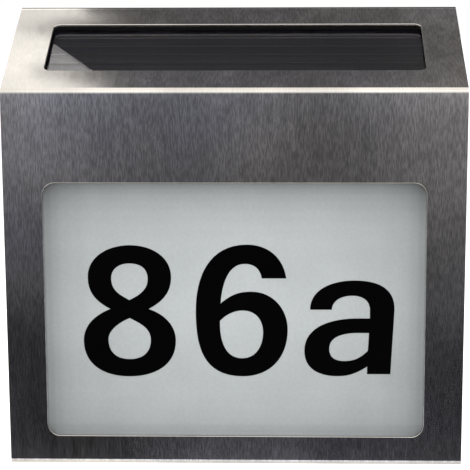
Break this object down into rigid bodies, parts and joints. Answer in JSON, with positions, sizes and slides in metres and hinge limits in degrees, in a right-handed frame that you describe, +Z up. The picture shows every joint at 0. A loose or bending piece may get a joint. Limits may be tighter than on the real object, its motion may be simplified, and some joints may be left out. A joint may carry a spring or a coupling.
{
  "type": "illuminated house number sign",
  "caption": "Solar wall sign that lights a house number: folded steel hood with an opal number panel, solar roof, moulded housing, battery bay and slide switch.",
  "frame": {"origin": "on the wall face, in the middle of the width, level with the middle of the hood's front", "axes": "+X to the right as seen from the street, +Y into the wall, +Z up"},
  "size_m": [0.18, 0.065, 0.1783],
  "materials": {
    "brushed_steel": "fine vertical brushing, satin",
    "opal_acrylic": "opal white, smooth",
    "black_foam": "closed-cell foam, matt",
    "solar_glass": "clear cover glass, polished",
    "solar_film": "near-black thin film",
    "board_green": "green solder mask",
    "board_white": "white solder mask",
    "black_housing": "fine spark-eroded grain",
    "black_door": "fine spark-eroded grain",
    "black_rubber": "smooth, matt",
    "white_tray": "white reflector plastic",
    "screw_steel": "zinc plated",
    "led_resin": "clear cast resin",
    "copper_winding": "enamelled copper on ferrite",
    "capacitor_sleeve": "shrunk sleeve",
    "chip_black": "moulded epoxy",
    "battery_wrap": "shrunk sleeve, plain green",
    "battery_paper": "white insulating ring",
    "nickel_plate": "nickel plated spring steel",
    "red_lead": "soft insulation",
    "black_lead": "soft insulation",
    "yellow_lead": "soft insulation",
    "slider_white": "moulded nylon",
    "black_vinyl": "cut film numerals, semi-matt"
  },
  "bodies": {
    "sign": {"steel_hood": "brushed_steel", "number_panel": "opal_acrylic", "panel_gasket": "black_foam", "solar_gasket": "black_foam", "solar_glass": "solar_glass", "solar_cells": "solar_film", "solar_backing": "board_green", "housing": "black_housing", "cover_seal": "black_rubber", "rear_cover": "black_housing", "cover_screws": "screw_steel", "hood_screws": "screw_steel", "light_tray": "white_tray", "tray_screws": "screw_steel", "led_board": "board_white", "leds": "led_resin", "control_board": "board_green", "board_screws": "screw_steel", "choke_coil": "copper_winding", "capacitor": "capacitor_sleeve", "control_chip": "chip_black", "battery_can": "battery_wrap", "battery_ring": "battery_paper", "battery_cap": "nickel_plate", "positive_contact": "nickel_plate", "negative_contact": "nickel_plate", "negative_spring": "nickel_plate", "door_seal": "black_rubber", "switch_frame": "nickel_plate", "switch_body": "chip_black", "switch_screws": "screw_steel", "solar_lead_red": "red_lead", "solar_lead_black": "black_lead", "led_lead_red": "red_lead", "led_lead_black": "black_lead", "battery_lead_red": "red_lead", "battery_lead_black": "black_lead", "switch_leads": "yellow_lead"},
    "battery_door": {"battery_door": "black_door", "door_screws": "screw_steel"},
    "switch_slider": {"switch_slider": "slider_white"}
  },
  "joints": [
    {"name": "switch_slide", "type": "slide", "parent": "sign", "child": "switch_slider", "axis": [1, 0, 0], "range_m": [0, 0.003]},
    {"name": "battery_door_lift", "type": "slide", "parent": "sign", "child": "battery_door", "axis": [0, 1, 0], "range_m": [0, 0.015]}
  ]
}
